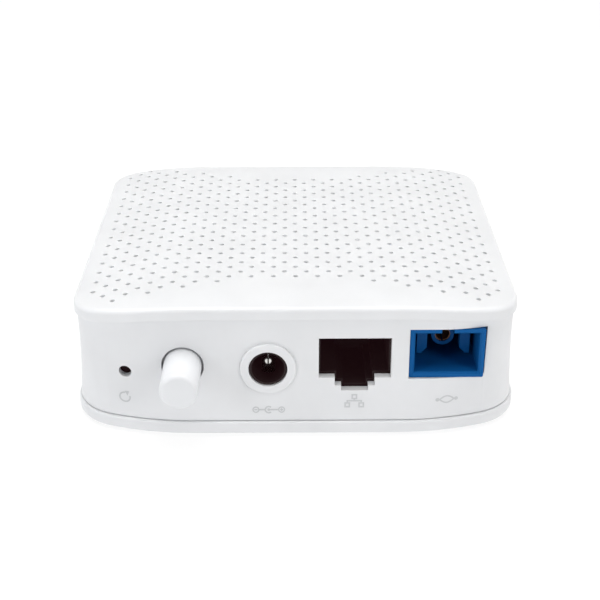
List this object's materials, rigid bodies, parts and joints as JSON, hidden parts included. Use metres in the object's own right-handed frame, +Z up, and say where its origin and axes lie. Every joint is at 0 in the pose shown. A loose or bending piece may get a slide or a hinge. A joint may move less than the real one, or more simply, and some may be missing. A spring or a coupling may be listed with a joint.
{
  "type": "optical network terminal",
  "caption": "Small white box that ends a home fibre line: fibre socket, network socket, power inlet, push power switch and pin-hole reset on one side.",
  "frame": {"origin": "centre of the object's box in plan, at the height of the surface it stands on; the box runs from the power button's face to the far wall", "axes": "+Z up out of the top cover, -Y out of the port side (the button's face), +X to the right when facing the ports"},
  "size_m": [0.0812, 0.0794, 0.026],
  "materials": {
    "case_white": "moulded ABS, white, fine satin texture",
    "button_white": "moulded ABS, white, satin",
    "jack_black": "moulded PBT, black",
    "adapter_blue": "moulded PBT, blue",
    "ceramic": "ground zirconia, white",
    "sleeve_bronze": "phosphor bronze, dull",
    "contact_gold": "gold plated spring contact",
    "bright_metal": "nickel plated",
    "tinned": "tinned steel",
    "screw_steel": "zinc plated steel",
    "aluminium": "extruded, anodised",
    "rubber_grey": "soft rubber, dark grey",
    "label_paper": "printed film, no lettering",
    "board_green": "solder mask, green",
    "chip_black": "moulded epoxy, black",
    "pad_grey": "silicone pad, grey",
    "component_tan": "ceramic body, tan",
    "component_dark": "moulded body, dark grey",
    "led_white": "LED lens, milky",
    "light_guide_clear": "clear polycarbonate"
  },
  "bodies": {
    "terminal": {"top_cover": "case_white", "housing": "case_white", "base": "case_white", "case_screws": "screw_steel", "board_screws": "screw_steel", "rubber_feet": "rubber_grey", "rating_label": "label_paper", "power_switch_body": "jack_black", "power_switch_spring": "bright_metal", "power_switch_pins": "tinned", "reset_switch_body": "jack_black", "reset_switch_cover": "bright_metal", "reset_dome": "bright_metal", "reset_switch_pins": "tinned", "power_jack_body": "jack_black", "power_jack_pin": "bright_metal", "power_jack_spring": "bright_metal", "power_jack_lugs": "tinned", "lan_jack_housing": "jack_black", "lan_jack_contacts": "contact_gold", "lan_jack_pegs": "jack_black", "sc_adapter_housing": "adapter_blue", "sc_hook_carrier": "adapter_blue", "alignment_sleeve": "sleeve_bronze", "fibre_stub": "ceramic", "transceiver_barrel": "bright_metal", "laser_can": "bright_metal", "receiver_can": "bright_metal", "transceiver_leads": "contact_gold", "transceiver_saddle": "component_dark", "main_board": "board_green", "processor": "chip_black", "memory": "chip_black", "flash": "chip_black", "laser_driver": "chip_black", "power_converter": "chip_black", "lan_transformer": "chip_black", "chip_leads": "tinned", "thermal_pad": "pad_grey", "heat_sink": "aluminium", "shield_can": "bright_metal", "inductors": "component_dark", "electrolytic_cans": "aluminium", "capacitor_bases": "chip_black", "ceramic_capacitors": "component_tan", "chip_resistors": "component_dark", "crystal": "bright_metal", "status_leds": "led_white", "light_guide": "light_guide_clear"},
    "power_button": {"power_button_cap": "button_white", "power_switch_plunger": "jack_black"},
    "reset_button": {"reset_plunger": "jack_black"}
  },
  "joints": [
    {"name": "power_press", "type": "slide", "parent": "terminal", "child": "power_button", "axis": [0, 1, 0], "range_m": [0, 0.0028], "stiffness_N_per_m": 1000, "springref_m": -0.0005, "deforming": ["power_switch_spring"]},
    {"name": "reset_press", "type": "slide", "parent": "terminal", "child": "reset_button", "axis": [0, 1, 0], "range_m": [0, 0.0003], "stiffness_N_per_m": 5000, "springref_m": -0.0001}
  ]
}
